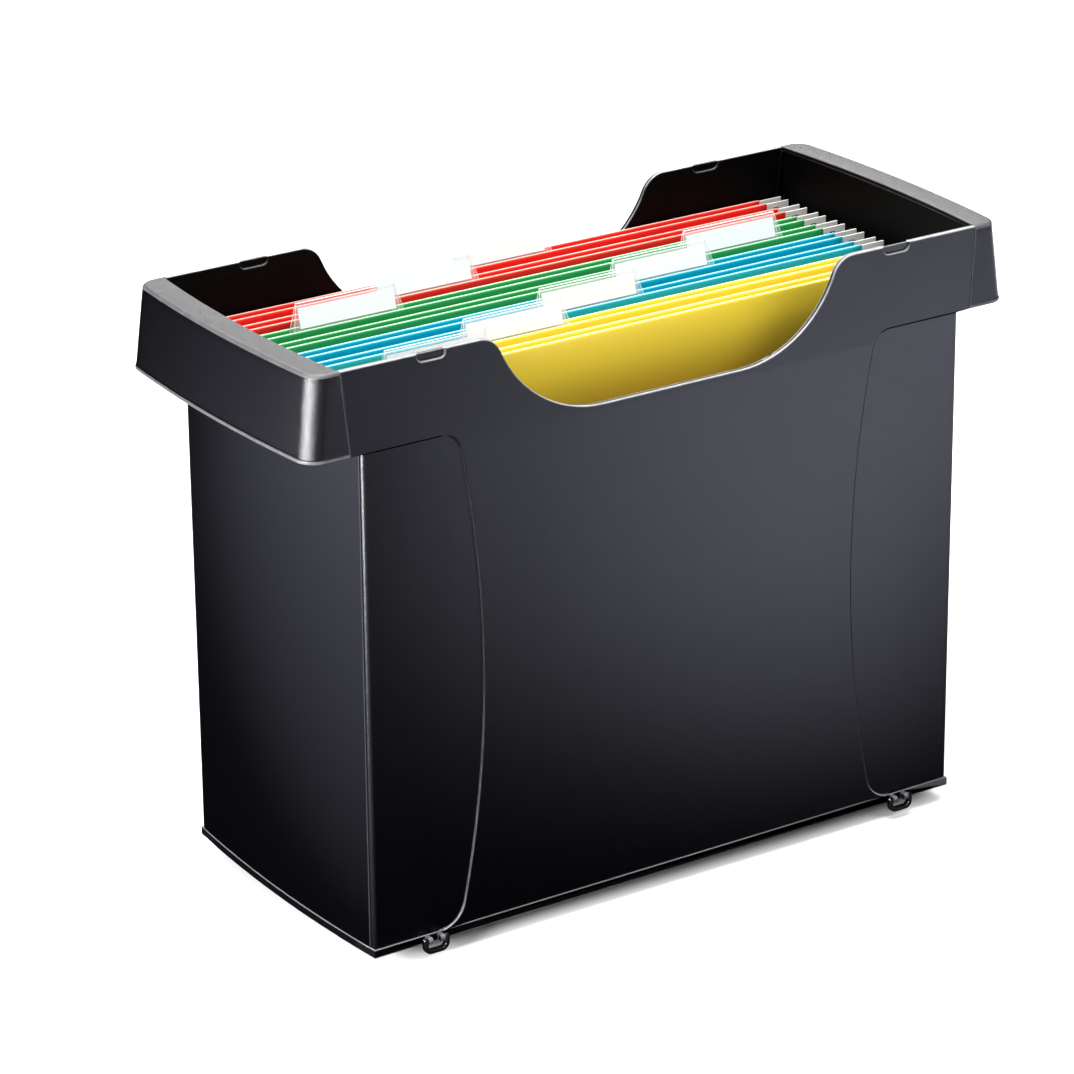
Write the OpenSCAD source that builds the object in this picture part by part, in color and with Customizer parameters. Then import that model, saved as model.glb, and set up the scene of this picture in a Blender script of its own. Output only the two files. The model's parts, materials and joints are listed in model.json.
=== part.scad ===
// Portable file box with carrying handles, holding eight suspension files.
// X runs along the box, the front is -Y, and Z = 0 is the surface that it stands on.

/* [Box] */
// Length of the body between its corners
body_l = 330; // [290:1:370]
// Width of the body over its raised panels
body_w = 159.2; // [140:0.2:200]
// Height of the body from the base rim to the top rim
body_h = 286.2; // [272:0.2:320]
// Thickness of the walls
wall = 2.4; // [1.8:0.1:3]
// How far each end wall bulges outwards at its middle
end_bow = 3.8; // [2:0.1:6]
// Radius of the upright corners of the body
corner_r = 2; // [1:0.1:2.2]
// Height of the raised band at the top of the side panels
band_h = 46; // [42:0.5:60]
// Thickness of the band and of the rim
band_t = 2.8; // [2.4:0.1:3]
// How far the band comes inwards at the rim
band_in = 1.7; // [0.5:0.1:2.4]

/* [Side recesses] */
// Depth of the recessed fields beside the raised panel
relief = 1; // [0.6:0.1:1.4]
// Width of a recessed field at its widest
recess_w = 61.4; // [40:0.2:75]
// Height of the widest point above the base
recess_mid = 131; // [110:1:150]
// Radius of the long curved edge
recess_r = 540; // [450:5:800]
// Radius of the upper corner
recess_top_r = 10; // [6:0.5:14]
// Radius of the lower corner
recess_low_r = 14; // [8:0.5:20]

/* [Scoop] */
// Depth of the scoop in the front and back rims
scoop_d = 43; // [36:0.5:45]
// Length of its straight floor
scoop_flat = 76; // [50:1:100]
// Radius of the curve from the floor to the side
scoop_r = 58.5; // [45:0.5:65]
// Radius of the shoulder where the scoop meets the rim
shoulder_r = 12; // [6:0.5:16]

/* [Rim catches] */
// Distance of a catch from the middle of the box
catch_x = 128; // [122:1:134]
// Width of a catch
catch_w = 14.5; // [10:0.5:18]
// Height of a catch
catch_h = 4; // [3:0.5:6]
// How deep a catch is cut into each face of the rim
catch_d = 0.9; // [0.4:0.1:1]

/* [Base] */
// Height of the base rim that shows round the foot of the body
rim_h = 4.4; // [3.4:0.1:8]
// Thickness of the floor
floor_t = 2.4; // [1.8:0.1:3]
// Height of the inner upstand that holds the walls
upstand_h = 14; // [10:0.5:20]
// Thickness of the upstand
upstand_t = 1.8; // [1.4:0.1:3]
// Height of the feet
foot_h = 8; // [7.8:0.2:14]
// Radius of a foot
foot_r = 11; // [8:0.5:16]
// Distance of a foot's centre from the end of the body
foot_x = 28; // [24:1:50]
// Distance of a foot's centre from the face of the body
foot_y = 30; // [27:1:45]

/* [Handles] */
// Height of the handle skirt
skirt_h = 40.2; // [34:0.2:42]
// Thickness of the handle shell
shell_t = 2.2; // [1.8:0.1:3]
// Width of the flat top of the handle
flange_w = 13.2; // [12:0.2:18]
// How far the skirt flares out from its top to its lip
flare = 4.6; // [2:0.1:8]
// How far the seam to the side panel slants back from its top to its foot
seam_slant = 3.4; // [0:0.1:5]
// Radius of the handle's outer corners
handle_r = 9; // [5:0.5:12]
// Height of the lip along the bottom of the skirt
lip_h = 1.6; // [1:0.1:3]
// How far the lip stands out
lip_out = 0.5; // [0.3:0.1:1]

/* [Hanging rails] */
// Depth of the rail's top below the rim
rail_drop = 27.4; // [24:0.2:30]
// Height of the rail above its ledge
rail_h = 6.4; // [5:0.1:8]
// Thickness of the rail
rail_t = 2.4; // [1.8:0.1:2.8]
// Free space between the rail and the handle's inner wall
rail_gap = 8.8; // [8:0.1:14]

/* [Link clips] */
// Distance of a clip from the end of the body
clip_end = 31.2; // [25:0.2:45]
// Width of a clip
clip_w = 13.6; // [13:0.2:22]
// Thickness of a clip's arm
clip_arm = 2.2; // [1.8:0.1:2.6]
// Depth of a clip from front to back
clip_t = 3.2; // [2.6:0.1:3.6]
// Distance from the pivot to the bottom of the clip
clip_drop = 6.4; // [6:0.1:7]
// Thickness of the crossbar
clip_bar = 2.1; // [2:0.1:3.2]
// Radius of a clip's outer corners
clip_r = 4; // [3:0.1:5]
// Radius of the pivot pins
clip_pin_r = 1; // [0.8:0.05:1.2]
// Free space between a clip and the base rim
clip_gap = 1; // [0.9:0.1:2]
// Height of the pivot above the bottom of the base rim
clip_z = 2.4; // [2.2:0.1:2.6]

/* [Suspension files] */
// Number of files
file_n = 8; // [1:1:8]
// Distance from one file to the next
file_pitch = 15.5; // [13:0.1:18]
// Distance between the two flaps of a file
flap_gap = 6.2; // [6:0.1:7]
// Depth of the pocket below the card's top edge
pocket_h = 236; // [200:1:240]
// Thickness of the card
card_t = 0.45; // [0.3:0.05:0.5]
// Height of the hem round the bar
hem_h = 12; // [11:0.5:16]
// Free space between the back panel and the last flap
back_gap = 2; // [1.8:0.1:6]
// Free space between a card's end and the end wall
card_gap = 3.6; // [2:0.1:6]

/* [File bars] */
// Thickness of a bar
bar_t = 0.8; // [0.6:0.05:0.9]
// Height of a bar
bar_h = 9; // [7:0.5:10]
// Height of a hook above the rail
hook_top = 3; // [2.5:0.1:4]
// How far a hook reaches below the top of the rail
hook_lip = 3.4; // [2:0.1:4]
// Length of a hook beyond the outer face of the rail
hook_out = 6.4; // [5:0.1:7]

/* [Index tabs] */
// Length of a tab at its foot
tab_l = 59; // [50:1:66]
// Height of a tab above the card
tab_h = 12; // [8:0.5:14]
// Angle at which the front of a tab leans back
tab_lean = 16; // [8:1:18]
// Thickness of the clear sheet
tab_t = 0.5; // [0.4:0.05:0.6]
// Depth of a tab's foot behind the hem
tab_foot = 4; // [2:0.5:8]
// How much shorter each end of a tab is at its top
tab_slope = 3; // [0:0.5:5]
// Length of a label
label_l = 51.5; // [40:0.5:54]
// Height of a label
label_h = 9.6; // [6:0.1:10]
// Thickness of a label
label_t = 0.25; // [0.2:0.05:0.3]
// How far the row of tab positions stands off the middle of the file
tab_shift = 3; // [-6:1:6]
// Distance from the end of the card to the outermost tab position
tab_margin = 26.3; // [20:0.1:40]

/* [Hidden] */

big_fn = 720;
round_fn = 96;
shell_fn = 64;
fit = 0.2;
pin_fit = 0.08;
clear = 0.3;
slice_t = 0.01;
bar_fit = 0.02;
bar_play = 0.1;
tab_fit = 0.05;
label_rise = 0.4;
past = 1;
overlap = 0.4;
tab_n = 5;
first_tab_n = 2;
file_colours = ["red", "red", "green", "green", "deepskyblue", "deepskyblue", "yellow", "yellow"];

half_l = body_l / 2;
half_w = body_w / 2;
field_w = half_w - relief;
inner_w = field_w - wall;
band_z = body_h - band_h;
rim_half_w = half_w - band_in;
rim_inner_w = rim_half_w - band_t;
skirt_z = body_h - skirt_h;
rail_z = body_h - rail_drop;
ledge_z = rail_z - rail_h;
ledge_low = ledge_z - wall;
flange_z = body_h - shell_t;
edge_x = half_l + rail_t / 2 + rail_gap;
flange_x = edge_x + flange_w;
lip_x = flange_x + flare;
seam_top = edge_x - clear;
seam_low = seam_top - seam_slant;
clip_x = half_l - clip_end;
clip_reach = clip_t + clip_gap;
box_y = clip_reach / 2;
pivot_y = -half_w - clip_reach + clip_t / 2;
hem_t = bar_t + 2 * card_t;
card_top = rail_z + hook_top;
card_l = body_l - 2 * wall - 2 * card_gap;
first_y = inner_w - back_gap - hem_t / 2 - flap_gap / 2;
tab_y = -flap_gap / 2 + hem_t / 2 + tab_fit;
tab_step = (card_l - tab_l - 2 * tab_margin) / (tab_n - 1);

function bow_radius(w, bow) = (w * w + bow * bow) / (2 * bow);
function file_y(i) = first_y - (i - 1) * file_pitch;
function tab_place(i) = (i - 1 + first_tab_n) % tab_n;
function tab_x(i) = ((tab_n - 1) / 2 - tab_place(i)) * tab_step + tab_shift;

// Lifts a piece from the box's own origin, the middle of its base rim, onto the feet
module placed() {
    translate([0, box_y, foot_h])
        children();
}

// Plan of the body: straight sides and two ends that bulge by the same arc
module bowed_plan(l, w, bow) {
    r = bow_radius(w, bow);
    intersection() {
        square([2 * (l + bow), 2 * w], center = true);
        translate([l + bow - r, 0])
            circle(r = r, $fn = big_fn);
        translate([r - l - bow, 0])
            circle(r = r, $fn = big_fn);
    }
}

// Stands a drawing of X and Z upright, from y to y + t
module upright(y, t) {
    translate([0, y + t, 0])
        rotate([90, 0, 0])
            linear_extrude(t)
                children();
}

// Stretches a drawing of Y and Z along X, centred
module along_x(l) {
    rotate([90, 0, 90])
        linear_extrude(l, center = true)
            children();
}

module base_lug(x) {
    translate([x, 0, 0])
        along_x(clip_arm)
            difference() {
                union() {
                    translate([pivot_y, clip_z])
                        circle(r = clip_t / 2, $fn = round_fn);
                    translate([pivot_y, clip_z - clip_t / 2])
                        square([-half_w - pivot_y + overlap, clip_t]);
                }
                translate([pivot_y, clip_z])
                    circle(r = clip_pin_r + pin_fit, $fn = round_fn);
            }
}

// Tray with a floor, a rim that shows, an upstand inside the walls, four feet and the clip lugs
module base_tray() {
    in_x = wall + fit;
    in_y = relief + wall + fit;
    lug_x = clip_w / 2 - clip_arm * 1.5 - fit;
    color("#1d1e22") {
        difference() {
            union() {
                linear_extrude(rim_h)
                    bowed_plan(half_l, half_w, end_bow);
                linear_extrude(upstand_h)
                    bowed_plan(half_l - in_x, half_w - in_y, end_bow);
            }
            translate([0, 0, floor_t])
                linear_extrude(upstand_h)
                    bowed_plan(half_l - in_x - upstand_t, half_w - in_y - upstand_t, end_bow);
        }
        for (sx = [-1, 1], sy = [-1, 1])
            translate([sx * (half_l - foot_x), sy * (half_w - foot_y), -foot_h])
                cylinder(r = foot_r, h = foot_h + overlap, $fn = round_fn);
        for (sx = [-1, 1], side = [-1, 1])
            base_lug(sx * clip_x + side * lug_x);
    }
}

// One recessed field: a disc of large radius, cut flat at its top and bottom, with rounded corners
module recess_field() {
    disc_x = half_l - recess_w + recess_r;
    top_z = skirt_z - recess_top_r;
    low_z = rim_h + recess_low_r;
    top_x = disc_x - sqrt(pow(recess_r - recess_top_r, 2) - pow(top_z - recess_mid, 2));
    low_x = disc_x - sqrt(pow(recess_r - recess_low_r, 2) - pow(low_z - recess_mid, 2));
    top_meet = recess_mid + (top_z - recess_mid) * recess_r / (recess_r - recess_top_r);
    low_meet = recess_mid + (low_z - recess_mid) * recess_r / (recess_r - recess_low_r);
    intersection() {
        translate([disc_x, recess_mid])
            circle(r = recess_r, $fn = big_fn);
        translate([0, low_meet])
            square([half_l + past, top_meet - low_meet]);
    }
    translate([top_x, top_z - past])
        square([half_l + past - top_x, recess_top_r + past]);
    translate([top_x, top_z])
        circle(r = recess_top_r, $fn = round_fn);
    translate([low_x, rim_h - past])
        square([half_l + past - low_x, recess_low_r + 2 * past]);
    translate([low_x, low_z])
        circle(r = recess_low_r, $fn = round_fn);
}

// The scoop cut from the rim: a flat floor, two large curves and two rounded shoulders
module scoop() {
    floor_z = body_h - scoop_d;
    reach = sqrt(2 * (scoop_r + shoulder_r) * scoop_d - scoop_d * scoop_d);
    low_x = scoop_flat / 2;
    top_x = low_x + reach;
    meet = scoop_r / (scoop_r + shoulder_r);
    meet_x = low_x + reach * meet;
    meet_z = floor_z + scoop_r - (scoop_r + shoulder_r - scoop_d) * meet;
    translate([-low_x, floor_z])
        square([scoop_flat, scoop_d + past]);
    for (side = [0, 1])
        mirror([side, 0]) {
            intersection() {
                translate([low_x, floor_z + scoop_r])
                    circle(r = scoop_r, $fn = big_fn);
                translate([low_x - overlap, floor_z])
                    square([meet_x - low_x + overlap, meet_z - floor_z + overlap]);
            }
            translate([low_x - overlap, meet_z])
                square([meet_x - low_x + overlap, body_h - meet_z + past]);
            difference() {
                translate([meet_x - overlap, meet_z])
                    square([top_x - meet_x + overlap, body_h - meet_z + past]);
                translate([top_x, body_h - shoulder_r])
                    circle(r = shoulder_r, $fn = round_fn);
            }
        }
}

// Outline of a rim catch: a slot with a round bottom
module catch_outline() {
    r = catch_h * 0.7;
    for (side = [-1, 1])
        translate([side * catch_x, body_h]) {
            translate([-catch_w / 2, r - catch_h])
                square([catch_w, catch_h - r + past]);
            translate([r - catch_w / 2, -catch_h])
                square([catch_w - 2 * r, catch_h]);
            for (s = [-1, 1])
                translate([s * (catch_w / 2 - r), r - catch_h])
                    circle(r = r, $fn = round_fn);
        }
}

// The plate of a side panel in plan, with its two upright corners rounded
module panel_plan() {
    intersection() {
        union() {
            square([body_l - 2 * corner_r, 2 * field_w], center = true);
            square([body_l, 2 * field_w - 2 * corner_r], center = true);
            for (sx = [-1, 1], sy = [-1, 1])
                translate([sx * (half_l - corner_r), sy * (field_w - corner_r)])
                    circle(r = corner_r, $fn = round_fn);
        }
        translate([-half_l - past, -field_w - past])
            square([body_l + 2 * past, wall + past]);
    }
}

// Section of the raised panel in Y and Z: upright up to the band, which leans inwards to the rim
module raised_section() {
    polygon([
        [-half_w, rim_h], [-half_w, band_z], [-rim_half_w, body_h],
        [-rim_inner_w, body_h], [band_t - half_w, band_z], [-inner_w - overlap, band_z],
        [-inner_w - overlap, rim_h]]);
}

// Outline of the raised panel and of the band, which reaches past the corners to the handles
module raised_outline() {
    difference() {
        polygon([
            [-half_l, rim_h], [half_l, rim_h], [half_l, skirt_z], [seam_low, skirt_z], [seam_top, body_h],
            [-seam_top, body_h], [-seam_low, skirt_z], [-half_l, skirt_z]]);
        recess_field();
        mirror([1, 0])
            recess_field();
    }
}

module side_panel_front() {
    color("#26272b")
        difference() {
            union() {
                translate([0, 0, rim_h])
                    linear_extrude(skirt_z - rim_h)
                        panel_plan();
                intersection() {
                    along_x(2 * edge_x)
                        raised_section();
                    upright(-half_w - past, body_w)
                        raised_outline();
                }
            }
            upright(-half_w - past, body_w / 2)
                scoop();
            upright(-rim_half_w - past, catch_d + past)
                catch_outline();
            upright(-rim_inner_w - catch_d, catch_d + past)
                catch_outline();
        }
}

module side_panel_back() {
    mirror([0, 1, 0])
        side_panel_front();
}

// A bowed wall whose top turns outwards into a ledge, a rail and the inner wall of the handle
module end_wall() {
    wall_w = inner_w - fit / 2;
    rail_w = rim_inner_w - fit / 2;
    inner_r = bow_radius(rail_w, end_bow);
    color("#202125") {
        translate([0, 0, rim_h])
            linear_extrude(ledge_z - rim_h)
                intersection() {
                    difference() {
                        bowed_plan(half_l, field_w, end_bow);
                        bowed_plan(half_l - wall, field_w, end_bow);
                    }
                    translate([half_l / 2, -wall_w])
                        square([half_l, 2 * wall_w]);
                }
        translate([0, 0, ledge_low])
            linear_extrude(wall)
                intersection() {
                    bowed_plan(edge_x + overlap, rail_w, end_bow);
                    translate([half_l - rail_t / 2, -rail_w])
                        square([half_l, 2 * rail_w]);
                }
        translate([half_l - rail_t / 2, -rail_w, ledge_low])
            cube([rail_t, 2 * rail_w, rail_h + wall]);
        translate([0, 0, ledge_low])
            linear_extrude(flange_z - ledge_low)
                intersection() {
                    difference() {
                        translate([edge_x + end_bow + shell_t - inner_r, 0])
                            circle(r = inner_r, $fn = big_fn);
                        translate([edge_x + end_bow - inner_r, 0])
                            circle(r = inner_r, $fn = big_fn);
                    }
                    translate([half_l, -rail_w])
                        square([half_l, 2 * rail_w]);
                }
    }
}

module end_wall_right() {
    end_wall();
}

module end_wall_left() {
    mirror([1, 0, 0])
        end_wall();
}

// One level of the handle's outline in plan, with rounded outer corners
module handle_slice(z, x, w) {
    r = bow_radius(w, end_bow);
    translate([0, 0, z])
        linear_extrude(slice_t)
            offset(r = handle_r, $fn = shell_fn)
                offset(delta = -handle_r)
                    intersection() {
                        translate([half_l / 2, -w])
                            square([half_l, 2 * w]);
                        translate([x + end_bow - r, 0])
                            circle(r = r, $fn = big_fn);
                    }
}

// Solid between two levels of the handle, from the lip up to the flange
module handle_body(inset, low, top) {
    low_w = half_w - band_in * (skirt_z - band_z) / band_h;
    hull() {
        handle_slice(low, lip_x - inset, low_w - inset);
        handle_slice(top, flange_x - inset, rim_half_w - inset);
    }
}

module handle_lip() {
    low_w = half_w - band_in * (skirt_z - band_z) / band_h;
    hull() {
        handle_slice(skirt_z, lip_x + lip_out, low_w);
        handle_slice(skirt_z + lip_h, lip_x + lip_out - flare * lip_h / skirt_h, low_w);
    }
}

// Carrying handle: a flat top, a flared skirt that wraps round to the side panels, and a lip
module handle() {
    rail_w = rim_inner_w - fit / 2;
    inner_r = bow_radius(rail_w, end_bow);
    color("#2b2c31")
        difference() {
            union() {
                handle_body(0, skirt_z, body_h - slice_t);
                handle_lip();
            }
            handle_body(shell_t, skirt_z - 2 * slice_t, flange_z - slice_t);
            translate([0, 0, skirt_z - past])
                linear_extrude(skirt_h + 2 * past)
                    intersection() {
                        translate([edge_x + end_bow - inner_r, 0])
                            circle(r = inner_r, $fn = big_fn);
                        translate([0, -rail_w])
                            square([edge_x + 2 * end_bow, 2 * rail_w]);
                    }
            upright(-half_w - past, body_w + 2 * past)
                polygon([
                    [0, skirt_z - past], [seam_low, skirt_z - past], [seam_low, skirt_z],
                    [seam_top, body_h], [seam_top, body_h + past], [0, body_h + past]]);
        }
}

module handle_right() {
    handle();
}

module handle_left() {
    mirror([1, 0, 0])
        handle();
}

// A U-shaped bail with two eyes and two short pins that turn in the lugs of the base
module link_clip(x) {
    slot_r = clip_r - clip_arm;
    pin_l = clip_arm * 2 + fit;
    slot_w = clip_w - 2 * clip_arm;
    slot_h = clip_drop - clip_bar;
    color("#17181b")
        translate([x, 0, clip_z]) {
            upright(pivot_y - clip_t / 2, clip_t)
                difference() {
                    union() {
                        translate([-clip_w / 2, clip_r - clip_drop])
                            square([clip_w, clip_drop - clip_r]);
                        translate([clip_r - clip_w / 2, -clip_drop])
                            square([clip_w - 2 * clip_r, clip_r]);
                        for (s = [-1, 1])
                            translate([s * (clip_w / 2 - clip_r), clip_r - clip_drop])
                                circle(r = clip_r, $fn = round_fn);
                    }
                    translate([-slot_w / 2, slot_r - slot_h])
                        square([slot_w, slot_h]);
                    translate([slot_r - slot_w / 2, -slot_h])
                        square([slot_w - 2 * slot_r, slot_h]);
                    for (s = [-1, 1])
                        translate([s * (slot_w / 2 - slot_r), slot_r - slot_h])
                            circle(r = slot_r, $fn = round_fn);
                }
            for (s = [-1, 1]) {
                translate([s * (clip_w - clip_arm) / 2, pivot_y, 0])
                    rotate([0, 90, 0])
                        cylinder(r = clip_t / 2, h = clip_arm, center = true, $fn = round_fn);
                translate([s * (clip_w / 2 - pin_l / 2), pivot_y, 0])
                    rotate([0, 90, 0])
                        cylinder(r = clip_pin_r, h = pin_l, center = true, $fn = round_fn);
            }
        }
}

module link_clip_left() {
    link_clip(-clip_x);
}

module link_clip_right() {
    link_clip(clip_x);
}

// Profile of a folded card in Y and Z: two flaps, each hemmed round a bar, and a round fold
module pocket_profile() {
    fold_r = flap_gap / 2;
    fold_z = card_top - pocket_h + fold_r;
    for (s = [-1, 1]) {
        translate([s * fold_r - card_t / 2, fold_z])
            square([card_t, card_top - hem_h - fold_z + overlap]);
        difference() {
            translate([s * fold_r - hem_t / 2, card_top - hem_h])
                square([hem_t, hem_h]);
            translate([s * fold_r - bar_t / 2 - bar_fit, card_top - card_t - bar_h - bar_play])
                square([bar_t + 2 * bar_fit, bar_h + bar_play + bar_fit]);
        }
    }
    difference() {
        translate([0, fold_z])
            circle(r = fold_r + card_t / 2, $fn = round_fn);
        translate([0, fold_z])
            circle(r = fold_r - card_t / 2, $fn = round_fn);
        translate([-flap_gap, fold_z])
            square([2 * flap_gap, flap_gap]);
    }
}

module file_pocket(i) {
    color(file_colours[i - 1])
        translate([0, file_y(i), 0])
            along_x(card_l)
                pocket_profile();
}

// A flat bar whose ends reach past the card and hook over the rails
module file_bar(i, s) {
    hook_x = half_l + rail_t / 2 + hook_out;
    notch_w = rail_t + 4 * fit;
    color("#c9c7c0")
        translate([0, file_y(i) + s * flap_gap / 2, 0])
            upright(-bar_t / 2, bar_t)
                difference() {
                    union() {
                        translate([-card_l / 2, card_top - card_t - bar_h])
                            square([card_l, bar_h]);
                        translate([-hook_x, rail_z - hook_lip])
                            square([2 * hook_x, hook_top + hook_lip - card_t]);
                    }
                    for (side = [-1, 1])
                        translate([side * half_l - notch_w / 2, rail_z - hook_lip - past])
                            square([notch_w, hook_lip + past]);
                }
}

// Wedge of clear sheet in Y and Z: an upright back, a front that leans back, and a foot
module tab_wedge() {
    top_y = tab_h * tan(tab_lean);
    polygon([
        [0, -tab_foot], [0, 0], [top_y, tab_h],
        [top_y + 2 * tab_t, tab_h], [top_y + 2 * tab_t, -tab_foot]]);
}

// The slot inside the wedge, one sheet's thickness from each face
module tab_slot() {
    back_y = tab_h * tan(tab_lean) + tab_t;
    slot_z = tab_h - 2 * tab_t;
    polygon([
        [tab_t, -tab_foot + tab_t], [tab_t, 0], [tab_t + slot_z * tan(tab_lean), slot_z],
        [back_y, slot_z], [back_y, -tab_foot + tab_t]]);
}

module file_tab(i) {
    color([0.92, 0.93, 0.94, 0.5])
        translate([tab_x(i), file_y(i) + tab_y, card_top])
            difference() {
                along_x(tab_l)
                    tab_wedge();
                along_x(tab_l + past)
                    tab_slot();
                for (side = [-1, 1])
                    upright(-past, tab_h)
                        polygon([
                            [side * tab_l / 2, 0],
                            [side * (tab_l / 2 - tab_slope), tab_h],
                            [side * (tab_l / 2 - tab_slope), tab_h + past],
                            [side * (tab_l / 2 + past), tab_h + past],
                            [side * (tab_l / 2 + past), 0]]);
            }
}

module file_label(i) {
    color("white")
        translate([tab_x(i), file_y(i) + tab_y + tab_t, card_top])
            rotate([-tab_lean, 0, 0])
                translate([-label_l / 2, tab_fit, label_rise])
                    cube([label_l, label_t, label_h]);
}

placed() base_tray();
placed() side_panel_front();
placed() side_panel_back();
placed() end_wall_left();
placed() end_wall_right();
placed() handle_left();
placed() handle_right();
placed() link_clip_left();
placed() link_clip_right();
for (i = [1 : file_n]) {
    placed() file_pocket(i);
    placed() file_bar(i, 1);
    placed() file_bar(i, -1);
    placed() file_tab(i);
    placed() file_label(i);
}
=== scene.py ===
# Portable file box with eight suspension files: finishes and softened shapes round the CAD frame.
import json
import math

import bmesh
import bpy
from mathutils import Matrix, Vector


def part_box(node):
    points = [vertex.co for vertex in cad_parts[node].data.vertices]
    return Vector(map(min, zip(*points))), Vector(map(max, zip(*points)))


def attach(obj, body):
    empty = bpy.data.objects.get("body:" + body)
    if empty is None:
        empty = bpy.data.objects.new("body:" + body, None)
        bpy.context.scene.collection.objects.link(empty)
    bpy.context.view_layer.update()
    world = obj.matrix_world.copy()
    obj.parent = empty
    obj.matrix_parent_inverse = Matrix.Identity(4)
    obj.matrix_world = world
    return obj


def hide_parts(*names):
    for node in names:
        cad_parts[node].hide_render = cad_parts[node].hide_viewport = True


mm = 0.001
weldWithin = 2e-6
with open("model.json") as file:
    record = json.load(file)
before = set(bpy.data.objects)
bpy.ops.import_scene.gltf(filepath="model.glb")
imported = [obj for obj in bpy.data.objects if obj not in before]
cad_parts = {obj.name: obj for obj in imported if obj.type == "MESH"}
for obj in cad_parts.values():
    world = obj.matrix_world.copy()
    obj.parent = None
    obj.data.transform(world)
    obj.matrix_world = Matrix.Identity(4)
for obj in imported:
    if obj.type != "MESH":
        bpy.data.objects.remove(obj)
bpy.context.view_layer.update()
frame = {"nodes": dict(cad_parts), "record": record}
print("frame loaded", len(frame["nodes"]), "nodes")

# The CAD gives the middle of the body and the height of its rim; every height below hangs from these.
frontLow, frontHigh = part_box("side_panel_front")
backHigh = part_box("side_panel_back")[1]
midY = (frontLow.y + backHigh.y) / 2
rimZ = frontHigh.z
bodyHalfW = (backHigh.y - frontLow.y) / 2


# Camera, solved from the photograph's edges
camera = {"place": (-1.1421, -1.7, 0.9822), "azimuth": -33.34, "elevation": 22.07, "roll": 0.51,
          "lens": 156.0, "sensor": 36.0}


def placeCamera():
    az, el, roll = (math.radians(camera[k]) for k in ("azimuth", "elevation", "roll"))
    forward = Vector((-math.sin(az) * math.cos(el), math.cos(az) * math.cos(el), -math.sin(el)))
    right = forward.cross(Vector((0, 0, 1))).normalized()
    down = forward.cross(right)
    turnedRight = math.cos(roll) * right + math.sin(roll) * down
    turnedDown = -math.sin(roll) * right + math.cos(roll) * down
    data = bpy.data.cameras.new("camera")
    data.lens = camera["lens"]
    data.sensor_width = camera["sensor"]
    data.clip_start, data.clip_end = 0.05, 40
    obj = bpy.data.objects.new("camera", data)
    turn = Matrix((turnedRight, -turnedDown, -forward)).transposed()
    obj.matrix_world = Matrix.Translation(camera["place"]) @ turn.to_4x4()
    bpy.context.scene.collection.objects.link(obj)
    bpy.context.scene.camera = obj


placeCamera()
print("camera placed")


# Shared shader groups
def newGroup(name, inputs, outputs):
    tree = bpy.data.node_groups.new(name, "ShaderNodeTree")
    for label, value in inputs.items():
        socket = tree.interface.new_socket(label, in_out="INPUT", socket_type="NodeSocketFloat")
        socket.default_value = value
    for label in outputs:
        tree.interface.new_socket(label, in_out="OUTPUT", socket_type="NodeSocketFloat")
    return tree, tree.nodes.new("NodeGroupInput"), tree.nodes.new("NodeGroupOutput")


def wire(tree, *pairs):
    for a, b in pairs:
        tree.links.new(a, b)


def mathNode(tree, operation, a, b=None, clamp=False):
    node = tree.nodes.new("ShaderNodeMath")
    node.operation = operation
    node.use_clamp = clamp
    for socket, value in zip(node.inputs, (a, b)):
        if isinstance(value, (int, float)):
            socket.default_value = value
        elif value is not None:
            tree.links.new(value, socket)
    return node.outputs[0]


def noiseNode(tree, scale, detail, rough=0.5, coords=None):
    node = tree.nodes.new("ShaderNodeTexNoise")
    node.inputs["Detail"].default_value = detail
    node.inputs["Roughness"].default_value = rough
    if coords is None:
        coords = tree.nodes.new("ShaderNodeTexCoord").outputs["Object"]
    wire(tree, (scale, node.inputs["Scale"]), (coords, node.inputs["Vector"]))
    return node.outputs["Fac"]


def attributeNode(tree, name):
    node = tree.nodes.new("ShaderNodeAttribute")
    node.attribute_name = name
    return node.outputs["Fac"]


# Fine moulded grain: pits and specks in Object coordinates
def grainGroup():
    inputs = {"Scale": 1800.0, "Patch Scale": 9.0}
    tree, source, sink = newGroup("moulded grain", inputs, ("Height", "Specks", "Patches"))
    fine = noiseNode(tree, source.outputs["Scale"], 3.0, 0.65)
    specks = mathNode(tree, "MULTIPLY", mathNode(tree, "SUBTRACT", fine, 0.52), 9.0, clamp=True)
    patches = noiseNode(tree, source.outputs["Patch Scale"], 2.0)
    wire(tree, (fine, sink.inputs["Height"]), (specks, sink.inputs["Specks"]), (patches, sink.inputs["Patches"]))
    return tree


# How far a face looks up, from 0 for a wall to 1 for a flat top
def lookingUp(tree):
    split = tree.nodes.new("ShaderNodeSeparateXYZ")
    tree.links.new(tree.nodes.new("ShaderNodeNewGeometry").outputs["Normal"], split.inputs[0])
    return mathNode(tree, "MAXIMUM", split.outputs["Z"], 0.0)


# Pale outward edges, partly wear and partly painted highlight, from the piece's own edge attribute; edges that look
# up get more painted highlight
def wearAndHighlightGroup():
    inputs = {"Amount": 0.5, "Top Highlight": 0.0, "Break Scale": 160.0}
    tree, source, sink = newGroup("edge wear", inputs, ("Mask",))
    broken = noiseNode(tree, source.outputs["Break Scale"], 3.0)
    spread = mathNode(tree, "MULTIPLY_ADD", broken, 0.8)
    spread.node.inputs[2].default_value = 0.55
    top = mathNode(tree, "MULTIPLY", lookingUp(tree), source.outputs["Top Highlight"])
    amount = mathNode(tree, "ADD", top, source.outputs["Amount"])
    scaled = mathNode(tree, "MULTIPLY", attributeNode(tree, "edge"), amount)
    wire(tree, (mathNode(tree, "MULTIPLY", scaled, spread, clamp=True), sink.inputs["Mask"]))
    return tree


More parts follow.
